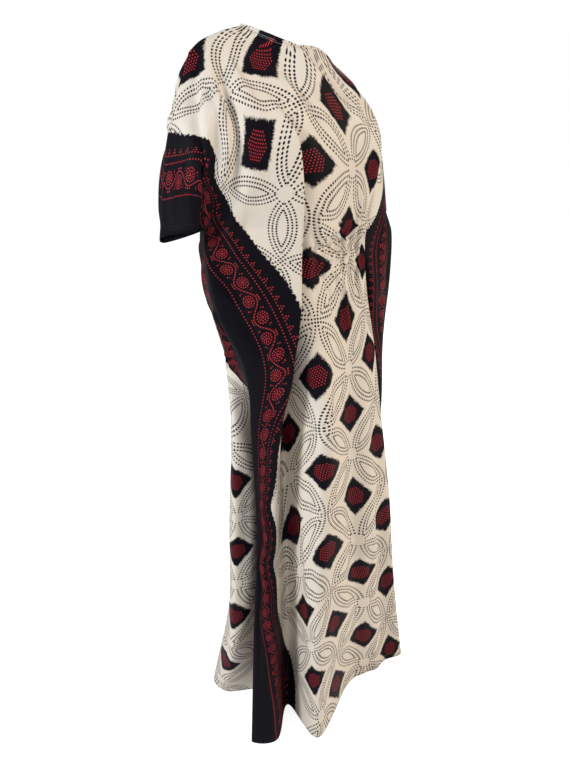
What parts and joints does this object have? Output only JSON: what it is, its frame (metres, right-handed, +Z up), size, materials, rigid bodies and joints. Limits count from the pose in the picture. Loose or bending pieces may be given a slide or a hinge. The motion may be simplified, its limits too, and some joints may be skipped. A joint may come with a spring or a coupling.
{
  "type": "floor-length loose dress, worn form with no wearer",
  "caption": "Loose floor-length kaftan dress with elbow sleeves that hang as wings, a drawn-in front waist, and a boat neck, kept in its worn, hollow form",
  "frame": {"origin": "between the shoulders, level with the shoulder line beside the neck, where the wearer's shoulders hold the dress up", "axes": "+Z up, the front of the dress faces -Y, the wearer's left is +X"},
  "size_m": [0.5843, 0.3261, 1.4275],
  "materials": {
    "front_cloth": "smooth woven cloth with a slight sheen",
    "back_cloth": "smooth woven cloth with a slight sheen",
    "binding_cloth": "smooth woven strip"
  },
  "bodies": {
    "root": {"front_bodice_right": "front_cloth", "front_bodice_left": "front_cloth", "back_bodice_right": "back_cloth", "back_bodice_left": "back_cloth", "front_skirt": "front_cloth", "back_skirt": "back_cloth", "neck_binding": "binding_cloth"}
  },
  "joints": []
}
